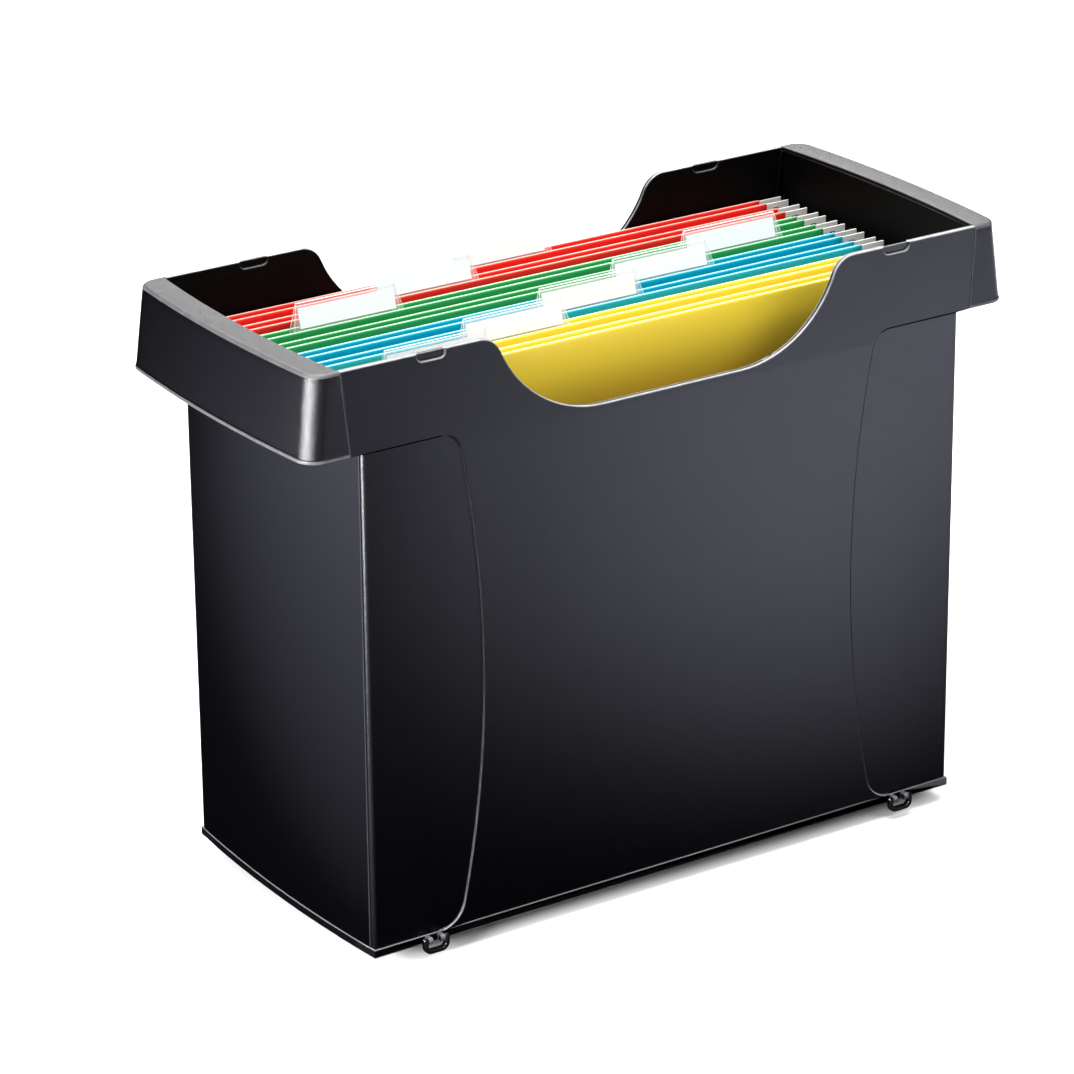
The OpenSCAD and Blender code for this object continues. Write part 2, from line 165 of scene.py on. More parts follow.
# Thin dust on faces that look up
def dustGroup():
    tree, source, sink = newGroup("thin dust", {"Amount": 0.1, "Scale": 60.0}, ("Mask",))
    up = mathNode(tree, "POWER", lookingUp(tree), 3.0)
    cloud = noiseNode(tree, source.outputs["Scale"], 5.0, 0.6)
    scaled = mathNode(tree, "MULTIPLY", up, source.outputs["Amount"])
    wire(tree, (mathNode(tree, "MULTIPLY", scaled, cloud, clamp=True), sink.inputs["Mask"]))
    return tree


# Short paper fibres that lie along the card
def fibreGroup():
    tree, source, sink = newGroup("paper fibre", {"Scale": 900.0, "Cloud Scale": 14.0}, ("Height", "Cloud"))
    coords = tree.nodes.new("ShaderNodeTexCoord").outputs["Object"]
    stretch = tree.nodes.new("ShaderNodeMapping")
    stretch.inputs["Scale"].default_value = (0.25, 1.0, 1.0)
    tree.links.new(coords, stretch.inputs["Vector"])
    fine = noiseNode(tree, source.outputs["Scale"], 2.0, 0.6, stretch.outputs["Vector"])
    cloud = noiseNode(tree, source.outputs["Cloud Scale"], 3.0, 0.5, stretch.outputs["Vector"])
    wire(tree, (fine, sink.inputs["Height"]), (cloud, sink.inputs["Cloud"]))
    return tree


groups = {"grain": grainGroup(), "wear": wearAndHighlightGroup(), "dust": dustGroup(), "fibre": fibreGroup()}
print("shader groups built")


def useGroup(tree, name, **values):
    node = tree.nodes.new("ShaderNodeGroup")
    node.node_tree = groups[name]
    for label, value in values.items():
        node.inputs[label].default_value = value
    return node.outputs


def newMaterial(name, roughness, specular):
    material = bpy.data.materials.new(name)
    material.use_nodes = True
    shader = material.node_tree.nodes["Principled BSDF"]
    shader.inputs["Roughness"].default_value = roughness
    shader.inputs["Specular IOR Level"].default_value = specular
    return material, material.node_tree, shader


def mixColour(tree, mask, low, high):
    node = tree.nodes.new("ShaderNodeMix")
    node.data_type = "RGBA"
    tree.links.new(mask, node.inputs[0])
    for socket, value in ((node.inputs[6], low), (node.inputs[7], high)):
        if isinstance(value, tuple):
            socket.default_value = (*value, 1.0)
        else:
            tree.links.new(value, socket)
    return node.outputs[2]


def bumpFrom(tree, shader, height, strength, distance):
    node = tree.nodes.new("ShaderNodeBump")
    node.inputs["Strength"].default_value = strength
    node.inputs["Distance"].default_value = distance
    wire(tree, (height, node.inputs["Height"]), (node.outputs[0], shader.inputs["Normal"]))


def between(tree, mask, low, high):
    node = tree.nodes.new("ShaderNodeMapRange")
    node.inputs["To Min"].default_value = low
    node.inputs["To Max"].default_value = high
    tree.links.new(mask, node.inputs["Value"])
    return node.outputs["Result"]


# Moulded plastics: one share sets the pale edge colour on edges, partly wear and partly painted highlight, and a
# second share adds painted highlight on edges that look up
plastics = {
    "panel": {"colour": (0.0004, 0.0004, 0.0008), "speck": (0.0012, 0.0013, 0.002), "worn": (0.46, 0.47, 0.49),
              "rough": (0.20, 0.27), "specular": 0.5, "grain": 2400.0, "depth": 0.3,
              "wear": 0.004, "topWear": 0.9, "dust": 0.006},
    "end": {"colour": (0.0004, 0.0004, 0.0008), "speck": (0.0008, 0.0009, 0.0014), "worn": (0.16, 0.17, 0.19),
            "rough": (0.17, 0.22), "specular": 0.5, "grain": 2000.0, "depth": 0.08,
            "wear": 0.1, "topWear": 0.2, "dust": 0.006},
    "handle": {"colour": (0.0005, 0.0005, 0.0009), "speck": (0.003, 0.003, 0.004), "worn": (0.42, 0.42, 0.44),
               "rough": (0.18, 0.25), "specular": 0.5, "grain": 2000.0, "depth": 0.5,
               "wear": 0.2, "topWear": 0.0, "dust": 0.015},
    "inside": {"colour": (0.0004, 0.0004, 0.0006), "speck": (0.0008, 0.0008, 0.001), "worn": (0.03, 0.03, 0.035),
               "rough": (0.5, 0.6), "specular": 0.1, "grain": 2000.0, "depth": 0.1,
               "wear": 0.4, "topWear": 0.0, "dust": 0.004},
    "base": {"colour": (0.0004, 0.0004, 0.0008), "speck": (0.001, 0.001, 0.0016), "worn": (0.30, 0.31, 0.33),
             "rough": (0.28, 0.36), "specular": 0.5, "grain": 2000.0, "depth": 0.12,
             "wear": 0.12, "topWear": 0.4, "dust": 0.006},
    "clip": {"colour": (0.0004, 0.0004, 0.0006), "speck": (0.0008, 0.0008, 0.001), "worn": (0.02, 0.02, 0.024),
             "rough": (0.08, 0.12), "specular": 0.8, "grain": 1500.0, "depth": 0.03,
             "wear": 0.2, "topWear": 0.2, "dust": 0.0},
}
dustColour = (0.30, 0.29, 0.28)
grainBump = 0.4 * mm


def plasticMaterial(name, s):
    material, tree, shader = newMaterial(name, s["rough"][0], s["specular"])
    grain = useGroup(tree, "grain", Scale=s["grain"])
    # Pale edge colour: partly wear, partly a painted highlight, strongest on edges that look up
    wear = useGroup(tree, "wear", Amount=s["wear"], **{"Top Highlight": s["topWear"]})["Mask"]
    dust = useGroup(tree, "dust", Amount=s["dust"])["Mask"]
    speckled = mixColour(tree, grain["Specks"], s["colour"], s["speck"])
    worn = mixColour(tree, wear, speckled, s["worn"])
    dusted = mixColour(tree, dust, worn, dustColour)
    rough = between(tree, grain["Patches"], *s["rough"])
    wire(tree, (dusted, shader.inputs["Base Color"]), (rough, shader.inputs["Roughness"]))
    bumpFrom(tree, shader, grain["Height"], s["depth"], grainBump)
    return material


# Coloured card, with a painted highlight along its folded top edge and a painted shade below the hem
cards = {"red": (0.78, 0.018, 0.012), "green": (0.022, 0.31, 0.08),
         "blue": (0.0, 0.36, 0.52), "yellow": (0.98, 0.72, 0.055)}
# low darkens the card for the painted shade below the hem; edge and tint give the fold's painted highlight
cardFinish = {"rough": (0.34, 0.46), "specular": 0.45, "edge": (0.62, 0.62, 0.50), "tint": 0.4, "deep": 0.86,
              "low": (0.42, 0.28, 0.28), "depth": 0.12, "bump": 0.3 * mm}


def cardMaterial(name, colour):
    s = cardFinish
    material, tree, shader = newMaterial(f"card {name}", s["rough"][0], s["specular"])
    fibre = useGroup(tree, "fibre")
    deep = tuple(c * s["deep"] for c in colour)
    # The card darkened for the painted shade below the hem
    low = tuple(c * t for c, t in zip(colour, s["low"]))
    # The fold's painted highlight colour, tinted by the card
    pale = tuple(e * (1 - s["tint"]) + math.sqrt(c) * s["tint"] for e, c in zip(s["edge"], colour))
    tone = mixColour(tree, fibre["Cloud"], deep, colour)
    # Painted shade below the hem, then the painted highlight along the fold
    for label, shade in (("hemShade", low), ("foldHighlight", pale)):
        tone = mixColour(tree, attributeNode(tree, label), tone, shade)
    wire(tree, (tone, shader.inputs["Base Color"]),
         (between(tree, fibre["Height"], *s["rough"]), shader.inputs["Roughness"]))
    bumpFrom(tree, shader, fibre["Height"], s["depth"], s["bump"])
    return material


# Coated steel bars, clear tabs and paper labels
barFinish = {"colour": (0.74, 0.73, 0.70), "scuffed": (0.58, 0.57, 0.54), "worn": (0.72, 0.71, 0.69),
             "rough": (0.34, 0.5), "specular": 0.5, "metallic": 0.12, "wear": 0.8}


def barMaterial():
    s = barFinish
    material, tree, shader = newMaterial("coated steel", s["rough"][0], s["specular"])
    shader.inputs["Metallic"].default_value = s["metallic"]
    fibre = useGroup(tree, "fibre", Scale=500.0, **{"Cloud Scale": 90.0})
    wear = useGroup(tree, "wear", Amount=s["wear"])["Mask"]
    coat = mixColour(tree, fibre["Cloud"], s["scuffed"], s["colour"])
    wire(tree, (mixColour(tree, wear, coat, s["worn"]), shader.inputs["Base Color"]),
         (between(tree, fibre["Height"], *s["rough"]), shader.inputs["Roughness"]))
    return material


clearFinish = {"colour": (0.93, 0.95, 0.96), "alpha": (0.10, 0.75), "rough": (0.05, 0.14), "specular": 0.6}


def clearMaterial():
    s = clearFinish
    material, tree, shader = newMaterial("clear sheet", s["rough"][0], s["specular"])
    shader.inputs["Base Color"].default_value = (*s["colour"], 1.0)
    # The sheet's folds and ends are made more opaque and pale: a painted highlight for the light its edges catch
    wear = useGroup(tree, "wear", Amount=1.0)["Mask"]
    grain = useGroup(tree, "grain", Scale=300.0, **{"Patch Scale": 40.0})
    wire(tree, (between(tree, wear, *s["alpha"]), shader.inputs["Alpha"]),
         (between(tree, grain["Patches"], *s["rough"]), shader.inputs["Roughness"]))
    return material


labelFinish = {"colour": (0.76, 0.77, 0.77), "shade": (0.71, 0.72, 0.72), "rough": (0.5, 0.62),
               "specular": 0.35, "depth": 0.1, "bump": 0.2 * mm}


def labelMaterial():
    s = labelFinish
    material, tree, shader = newMaterial("label paper", s["rough"][0], s["specular"])
    fibre = useGroup(tree, "fibre", **{"Cloud Scale": 30.0})
    wire(tree, (mixColour(tree, fibre["Cloud"], s["shade"], s["colour"]), shader.inputs["Base Color"]),
         (between(tree, fibre["Height"], *s["rough"]), shader.inputs["Roughness"]))
    bumpFrom(tree, shader, fibre["Height"], s["depth"], s["bump"])
    return material


looks = {f"{name}_plastic": plasticMaterial(f"{name} plastic", s) for name, s in plastics.items()}
looks.update({f"card_{name}": cardMaterial(name, colour) for name, colour in cards.items()})
looks["bar_steel"] = barMaterial()
looks["clear_sheet"] = clearMaterial()
looks["label_paper"] = labelMaterial()
slotOf = {p["node"]: p["material_slot"] for p in frame["record"]["subparts"]}
bodyOf = {node: body for body, nodes in frame["record"]["behaviour"]["bodies"].items() for node in nodes}
print("materials built", len(looks))


# Mesh helpers
def meshObject(name, mesh, slot):
    obj = bpy.data.objects.new(name, mesh)
    bpy.context.scene.collection.objects.link(obj)
    mesh.materials.clear()
    mesh.materials.append(looks[slot])
    return obj


# Bakes the live modifiers into a plain mesh
def finished(obj):
    depsgraph = bpy.context.evaluated_depsgraph_get()
    mesh = bpy.data.meshes.new_from_object(obj.evaluated_get(depsgraph), depsgraph=depsgraph)
    obj.modifiers.clear()
    obj.data = mesh


def smoothByAngle(mesh, degrees):
    mesh.shade_smooth()
    bm = bmesh.new()
    bm.from_mesh(mesh)
    limit = math.radians(degrees)
    for e in bm.edges:
        e.smooth = len(e.link_faces) == 2 and e.calc_face_angle(0.0) < limit
    bm.to_mesh(mesh)
    bm.free()


# Values between low and high as a share from 0 to 1
def shareOf(value, low, high):
    return min(max((value - low) / (high - low), 0.0), 1.0)


# Bend of a face per width, in radians per metre: no pale edge up to "none", full pale edge from "full"; the pale edge
# is partly wear and partly painted highlight
edgeWearAndHighlight = {"none": 250.0, "full": 1200.0, "leastArea": 1e-12}


# Marks the narrow faces of outward edges, which wear and catch the light, in the attribute "edge"
def markEdges(mesh):
    bm = bmesh.new()
    bm.from_mesh(mesh)
    bm.normal_update()
    marks = []
    for f in bm.faces:
        bend = sum(e.calc_length() * e.calc_face_angle_signed(0.0) for e in f.edges if len(e.link_faces) == 2)
        marks.append(shareOf(bend / max(f.calc_area(), edgeWearAndHighlight["leastArea"]), edgeWearAndHighlight["none"], edgeWearAndHighlight["full"]))
    bm.free()
    mesh.attributes.new("edge", "FLOAT", "FACE").data.foreach_set("value", marks)


# The insides are matt: the upright faces that look towards the middle of the box
def mattInside(mesh, upright=0.3):
    mesh.materials.append(looks["inside_plastic"])
    middle = Vector((0.0, midY))
    for f in mesh.polygons:
        out = f.center.xy - middle
        across = out.x * f.normal.x if abs(f.normal.x) > abs(f.normal.y) else out.y * f.normal.y
        if abs(f.normal.z) < upright and across < 0.0:
            f.material_index = 1


def bevel(obj, width, segments, degrees):
    mod = obj.modifiers.new("soft edges", "BEVEL")
    mod.width = width
    mod.segments = segments
    mod.limit_method = "ANGLE"
    mod.angle_limit = math.radians(degrees)
    mod.use_clamp_overlap = False
    mod.harden_normals = True
    mod.miter_outer = "MITER_ARC"


def dress(obj, node):
    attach(obj, bodyOf[node])
    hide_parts(node)


# A merged copy of a CAD node, with flat faces joined up
def mergedCopy(node, flatAngle):
    bm = bmesh.new()
    bm.from_mesh(frame["nodes"][node].data)
    bmesh.ops.remove_doubles(bm, verts=bm.verts, dist=weldWithin)
    bmesh.ops.dissolve_limit(bm, angle_limit=flatAngle, verts=bm.verts, edges=bm.edges)
    return bm


def meshFrom(bm, name):
    mesh = bpy.data.meshes.new(name)
    bm.to_mesh(mesh)
    bm.free()
    return mesh


copied = {"sharp": 35.0, "flat": 0.3, "smooth": 30, "levelWithin": 1e-5}


# A merged copy of a CAD node with its edges rounded, or only those at the levels given
def softenedCopy(node, name, width, segments, flat=copied["flat"], levels=None):
    bm = mergedCopy(node, math.radians(flat))
    bmesh.ops.recalc_face_normals(bm, faces=bm.faces)
    if levels:
        weights = bm.edges.layers.float.new("bevel_weight_edge")
        for e in bm.edges:
            sharp = len(e.link_faces) == 2 and e.calc_face_angle_signed(0.0) > math.radians(copied["sharp"])
            if sharp and any(all(abs(v.co.z - level) < copied["levelWithin"] for v in e.verts) for level in levels):
                e[weights] = 1.0
    mesh = meshFrom(bm, name)
    obj = meshObject(name, mesh, slotOf[node])
    smoothByAngle(mesh, copied["smooth"])
    bevel(obj, width, segments, copied["sharp"])
    if levels:
        obj.modifiers["soft edges"].limit_method = "WEIGHT"
    finished(obj)
    markEdges(obj.data)
    dress(obj, node)
    return obj


# Side panels and base: the CAD shape with moulded edges
panel = {"edge": 0.7 * mm, "segments": 3}
for side in ("front", "back"):
    obj = softenedCopy(f"side_panel_{side}", f"sidePanel_{side}", panel["edge"], panel["segments"])
    mattInside(obj.data)
print("side panels built")

base = {"edge": 0.5 * mm, "segments": 3, "flat": 0.1, "foot": 8.0 * mm}
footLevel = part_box("base_tray")[0].z
baseLevels = (footLevel, footLevel + base["foot"], frontLow.z)
softenedCopy("base_tray", "baseTray", base["edge"], base["segments"], base["flat"], baseLevels)
print("base built")


# Joins rows of points into a closed band; each row has one point for every station
def loft(name, rows, slot):
    bm = bmesh.new()
    grid = [[bm.verts.new(p) for p in row] for row in rows]
    count = len(rows[0])
    for a, b in zip(grid, grid[1:] + grid[:1]):
        for i in range(count - 1):
            bm.faces.new((a[i], a[i + 1], b[i + 1], b[i]))
    bm.faces.new([row[0] for row in grid])
    bm.faces.new([row[-1] for row in reversed(grid)])
    bmesh.ops.remove_doubles(bm, verts=bm.verts, dist=weldWithin)
    bmesh.ops.recalc_face_normals(bm, faces=bm.faces)
    return meshObject(name, meshFrom(bm, name), slot)


def mirrored(points, side):
    return [Vector((side * p[0], p[1], p[2])) for p in points]


# Link clips: a rounded bar bent to a U, with round eyes at its tops and two pins; sizes come from the node's box
clip = {"arm": 2.2 * mm, "bar": 2.1 * mm, "bend": 4.0 * mm, "round": 0.75 * mm, "thinnest": 0.2 * mm,
        "pinR": 1.0 * mm, "pinReach": 4.5 * mm, "pinPlay": 0.1 * mm, "pinSides": 24,
        "bendSteps": 10, "eyeSteps": 7, "armSteps": 3, "smooth": 50}


# Half sizes a and b, with corner radius r
def roundedSection(a, b, r, steps=3):
    points = []
    for sx, sy, start in ((1, 1, 0), (-1, 1, 90), (-1, -1, 180), (1, -1, 270)):
        for k in range(steps + 1):
            turn = math.radians(start + 90 * k / steps)
            points.append((sx * (a - r) + r * math.cos(turn), sy * (b - r) + r * math.sin(turn)))
    return points


# From the top of one arm round to the other: (x, z, sideways direction in X and Z, half thickness, half depth)
def clipStations(width, depth, drop):
    s = clip
    half, mid = width / 2 - s["arm"] / 2, s["bend"] - s["arm"] / 2
    bendZ = s["bend"] - drop
    left = []
    for k in range(s["eyeSteps"]):
        turn = math.pi / 2 * (1 - k / s["eyeSteps"])
        halfDepth = max(depth / 2 * math.cos(turn), s["thinnest"])
        left.append((-half, depth / 2 * math.sin(turn), (-1, 0), s["arm"] / 2, halfDepth))
    for k in range(s["armSteps"]):
        left.append((-half, bendZ * k / s["armSteps"], (-1, 0), s["arm"] / 2, depth / 2))
    for k in range(s["bendSteps"] + 1):
        turn = math.pi / 2 * k / s["bendSteps"]
        side = (-math.cos(turn), -math.sin(turn))
        thick = (s["arm"] + (s["bar"] - s["arm"]) * k / s["bendSteps"]) / 2
        left.append((-half + mid + mid * side[0], bendZ + mid * side[1], side, thick, depth / 2))
    return left + [(-x, z, (-side[0], side[1]), t, d) for x, z, side, t, d in reversed(left)]


def buildClip(sideName):
    s = clip
    node = f"link_clip_{sideName}"
    low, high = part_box(node)
    width, depth = high.x - low.x, high.y - low.y
    midX, pivotY, pivotZ = (low.x + high.x) / 2, (low.y + high.y) / 2, high.z - depth / 2
    loops = []
    for x, z, side, thick, halfDepth in clipStations(width, depth, pivotZ - low.z):
        section = roundedSection(thick, halfDepth, min(s["round"], halfDepth * 0.9))
        loops.append([Vector((midX + x + a * side[0], pivotY + b, pivotZ + z + a * side[1])) for a, b in section])
    obj = loft(f"linkClip_{sideName}", list(zip(*loops)), "clip_plastic")
    bm = bmesh.new()
    bm.from_mesh(obj.data)
    for way in (-1, 1):
        place = Matrix.Translation((midX + way * (width - s["pinReach"]) / 2, pivotY, pivotZ))
        bmesh.ops.create_cone(bm, cap_ends=True, segments=s["pinSides"], radius1=s["pinR"], radius2=s["pinR"],
                              depth=s["pinReach"] - s["pinPlay"], matrix=place @ Matrix.Rotation(math.pi / 2, 4, "Y"))
    bm.to_mesh(obj.data)
    bm.free()
    smoothByAngle(obj.data, s["smooth"])
    markEdges(obj.data)
    dress(obj, node)


for sideName in ("left", "right"):
    buildClip(sideName)
print("clips built")


# Carrying handle: plan outlines at many levels, from the inner edge over the top and down the skirt
handle = {"seamTop": 174.7 * mm, "seamFoot": 171.3 * mm,
          "innerX": 175.0 * mm, "innerW": 75.0 * mm, "innerR": 0.6 * mm,
          "topX": 188.2 * mm, "footX": 192.8 * mm, "topW": 77.9 * mm, "footW": 79.39 * mm, "corner": 9.0 * mm,
          "bow": 3.8 * mm, "skirt": 40.2 * mm, "shell": 2.2 * mm, "topRound": 1.7 * mm, "innerRound": 0.7 * mm,
          "lip": 1.6 * mm, "lipOut": 0.5 * mm, "lipRound": 0.8 * mm, "leastCorner": 1.0 * mm,
          "hollowRound": 0.4 * mm, "hollowDepth": 1.5 * mm, "edge": 0.25 * mm, "sharp": 60, "smooth": 40,
          "roundSteps": 6, "skirtSteps": 8, "hollowSteps": 4, "bowSteps": 48, "cornerSteps": 14, "sideSteps": 4}


# Bowed end with two rounded corners, from the front seam round to the back seam
def handleOutline(x, w, r, startX):
    s = handle
    bowR = (w * w + s["bow"] ** 2) / (2 * s["bow"])
    bowX = x + s["bow"] - bowR
    cornerY = w - r
    cornerX = bowX + math.sqrt((bowR - r) ** 2 - cornerY ** 2)
    lean = math.asin(cornerY / (bowR - r))
    half = [Vector((startX + (cornerX - startX) * i / s["sideSteps"], -w)) for i in range(s["sideSteps"])]
    for i in range(s["cornerSteps"]):
        a = -math.pi / 2 + (math.pi / 2 - lean) * i / s["cornerSteps"]
        half.append(Vector((cornerX + r * math.cos(a), -cornerY + r * math.sin(a))))
    for i in range(s["bowSteps"] // 2):
        a = -lean * (1 - 2 * i / s["bowSteps"])
        half.append(Vector((bowX + bowR * math.cos(a), bowR * math.sin(a))))
    middle = [Vector((bowX + bowR, 0.0))]
    return half + middle + [Vector((p.x, -p.y)) for p in reversed(half)]


def seamX(drop):
    share = min(drop / handle["skirt"], 1.0)
    return handle["seamTop"] + (handle["seamFoot"] - handle["seamTop"]) * share


def handleRow(drop, x, w, r, side):
    outline = handleOutline(x, w, r, seamX(drop))
    return mirrored([(p.x, p.y + midY, rimZ - drop) for p in outline], side)


def handleRows(side):
    s = handle
    rows = []

    def innerRow(drop, out):
        rows.append(handleRow(drop, s["innerX"] + out, s["innerW"] + out, s["innerR"] + out, side))

    def outerRow(drop, inset, lip=0.0):
        share = drop / s["skirt"]
        x = s["topX"] + (s["footX"] - s["topX"]) * share + lip - inset
        w = s["topW"] + (s["footW"] - s["topW"]) * share - inset
        rows.append(handleRow(drop, x, w, max(s["corner"] - inset, s["leastCorner"]), side))

    steps = s["roundSteps"]
    innerRow(s["shell"], 0.0)
    for i in range(steps + 1):
        a = math.pi / 2 * i / steps
        innerRow(s["innerRound"] * (1 - math.sin(a)), s["innerRound"] * (1 - math.cos(a)))
    for i in range(steps + 1):
        a = math.pi / 2 * i / steps
        outerRow(s["topRound"] * (1 - math.cos(a)), s["topRound"] * (1 - math.sin(a)))
    for i in range(1, s["skirtSteps"] + 1):
        drop = s["topRound"] + (s["skirt"] - 2 * s["lip"] - s["topRound"]) * i / s["skirtSteps"]
        outerRow(drop, 0.0)
    for i in range(1, steps + 1):
        a = math.pi / 2 * i / steps
        outerRow(s["skirt"] - 2 * s["lip"] + s["lip"] * math.sin(a), 0.0, s["lipOut"] * (1 - math.cos(a)))
    for i in range(1, steps + 1):
        a = math.pi / 2 * i / steps
        outerRow(s["skirt"] - s["lip"] + s["lip"] * math.sin(a), s["lipRound"] * (1 - math.cos(a)), s["lipOut"])
    outerRow(s["skirt"], s["shell"])
    for i in range(1, s["hollowSteps"] + 1):
        outerRow(s["skirt"] - (s["skirt"] - s["shell"] - s["hollowDepth"]) * i / s["hollowSteps"], s["shell"])
    outerRow(s["shell"] + s["hollowRound"], s["shell"] + s["hollowRound"])
    outerRow(s["shell"], s["shell"] + s["hollowDepth"])
    return rows


# Finishes a lofted piece of one end of the box
def dressEnd(obj, node, s):
    smoothByAngle(obj.data, s["smooth"])
    bevel(obj, s["edge"], 2, s["sharp"])
    finished(obj)
    markEdges(obj.data)
    mattInside(obj.data)
    dress(obj, node)


for sideName, side in (("left", -1), ("right", 1)):
    shell = loft(f"handle_{sideName}_shell", handleRows(side), "handle_plastic")
    dressEnd(shell, f"handle_{sideName}", handle)
print("handles built")


# End wall: one section swept from front to back. A point is (x, share of the bow, height below the rim, half width),
# and the points under the rail follow the bow until they meet the rail's face
endWall = {"half": 165.0 * mm, "wall": 2.4 * mm, "bow": 3.8 * mm, "plateW": 76.1 * mm, "railW": 75.0 * mm,
           "foot": 281.8 * mm, "ledge": 33.8 * mm, "ledgeT": 2.4 * mm, "railTop": 27.4 * mm, "railT": 2.4 * mm,
           "innerX": 175.0 * mm, "shell": 2.2 * mm, "top": 2.2 * mm, "ease": 1.0 * mm,
           "edge": 0.4 * mm, "sharp": 50, "smooth": 30, "stations": 48}


def endWallRows(side):
    s = endWall
    halfRail = s["railT"] / 2
    ledgeLow = s["ledge"] + s["ledgeT"]
    plate, rail = s["plateW"], s["railW"]
    section = [
        (s["half"], 1, s["foot"], plate), (s["half"], 1, ledgeLow + s["ease"], plate),
        (s["half"] + s["ease"], 1, ledgeLow, rail), (s["innerX"] + s["shell"], 1, ledgeLow, rail),
        (s["innerX"] + s["shell"], 1, s["top"], rail), (s["innerX"], 1, s["top"], rail),
        (s["innerX"], 1, s["ledge"] - s["ease"], rail), (s["innerX"] - s["ease"], 1, s["ledge"], rail),
        (s["half"] + halfRail, 0, s["ledge"], rail), (s["half"] + halfRail, 0, s["railTop"], rail),
        (s["half"] - halfRail, 0, s["railTop"], rail), (s["half"] - halfRail, 0, s["ledge"], rail),
        (s["half"] - halfRail, "under", s["ledge"], rail), (s["half"] - halfRail, "under", ledgeLow, rail),
        (s["half"] - s["wall"], 1, ledgeLow, plate), (s["half"] - s["wall"], 1, s["foot"], plate)]
    bowR = (bodyHalfW ** 2 + s["bow"] ** 2) / (2 * s["bow"])
    rows = []
    for x, share, drop, w in section:
        row = []
        for i in range(s["stations"] + 1):
            y = w * (2 * i / s["stations"] - 1)
            bow = math.sqrt(bowR ** 2 - y ** 2) - bowR + s["bow"]
            place = min(x, s["half"] - s["wall"] + bow) if share == "under" else x + bow * share
            row.append(Vector((side * place, y + midY, rimZ - drop)))
        rows.append(row)
    return rows


for sideName, side in (("left", -1), ("right", 1)):
    dressEnd(loft(f"endWall_{sideName}", endWallRows(side), "end_plastic"), f"end_wall_{sideName}", endWall)
print("end walls built")


# Suspension files
files = {"flapGap": 6.2 * mm, "pocket": 236.0 * mm, "card": 0.45 * mm, "hem": 12.0 * mm, "hemT": 1.7 * mm,
         "hemRun": 22.0 * mm, "columns": 60, "wave": 0.5 * mm, "waveScale": 9.0, "seed": 3.0, "bulge": 0.5 * mm,
         "lowRun": 34.0 * mm, "lowEnd": 70.0 * mm, "lowFade": 155.0 * mm,
         "topSteps": 8, "hemSteps": 6, "sideSteps": 24, "foldSteps": 6,
         "barEdge": 0.15 * mm, "tabEdge": 0.12 * mm, "labelEdge": 0.06 * mm, "labelFlat": 0.01}
fileColours = ["red", "red", "green", "green", "blue", "blue", "yellow", "yellow"]


# Painted shade: a deeper tone from the hem down, standing in for the shade inside the box, which fades out towards
# the pocket's foot
def hemShade(z):
    down = shareOf(z, files["hem"], files["hem"] + files["lowRun"])
    back = shareOf(z, files["lowEnd"], files["lowEnd"] + files["lowFade"])
    return down * down * (3 - 2 * down) * (1 - back)


# The card's path in Y and Z, seen from its end: (y, z below the top, how far it may sag, share of the painted
# highlight on the fold)
def cardPath():
    s = files
    half = s["flapGap"] / 2
    reach = (s["hemT"] - s["card"]) / 2
    foldZ = s["pocket"] - half
    topZ = reach + s["card"] / 2
    side = [(half - reach, s["hem"], 0, 0), (half - reach, s["hem"] / 2, 0, 0), (half - reach, topZ, 0, 0)]
    for i in range(1, s["topSteps"]):
        a = math.pi * i / s["topSteps"]
        # The top of the fold gets the painted highlight
        pale = min(max(1.6 - 0.75 * abs(i - s["topSteps"] / 2), 0.0), 1.0)
        side.append((half - reach * math.cos(a), s["card"] / 2 + reach * (1 - math.sin(a)), 0, pale))
    side.append((half + reach, topZ, 0, 0))
    for i in range(1, s["hemSteps"] + 1):
        side.append((half + reach, s["hem"] * i / s["hemSteps"], 0, 0))
    for i in range(1, s["hemSteps"] + 1):
        closing = (1 + math.cos(math.pi * i / s["hemSteps"])) / 2
        side.append((half + reach * closing, s["hem"] + s["hemRun"] * i / s["hemSteps"], 0, 0))
    for i in range(1, s["sideSteps"] + 1):
        share = i / s["sideSteps"]
        z = s["hem"] + s["hemRun"] + (foldZ - s["hem"] - s["hemRun"]) * share
        side.append((half, z, math.sin(math.pi * share) ** 0.7, 0))
    for i in range(1, s["foldSteps"]):
        a = math.pi / 2 * i / s["foldSteps"]
        side.append((half * math.cos(a), foldZ + half * math.sin(a), 0, 0))
    bottom = [(0.0, s["pocket"], 0, 0)]
    return side + bottom + [(-y, z, sag, edge) for y, z, sag, edge in reversed(side)]


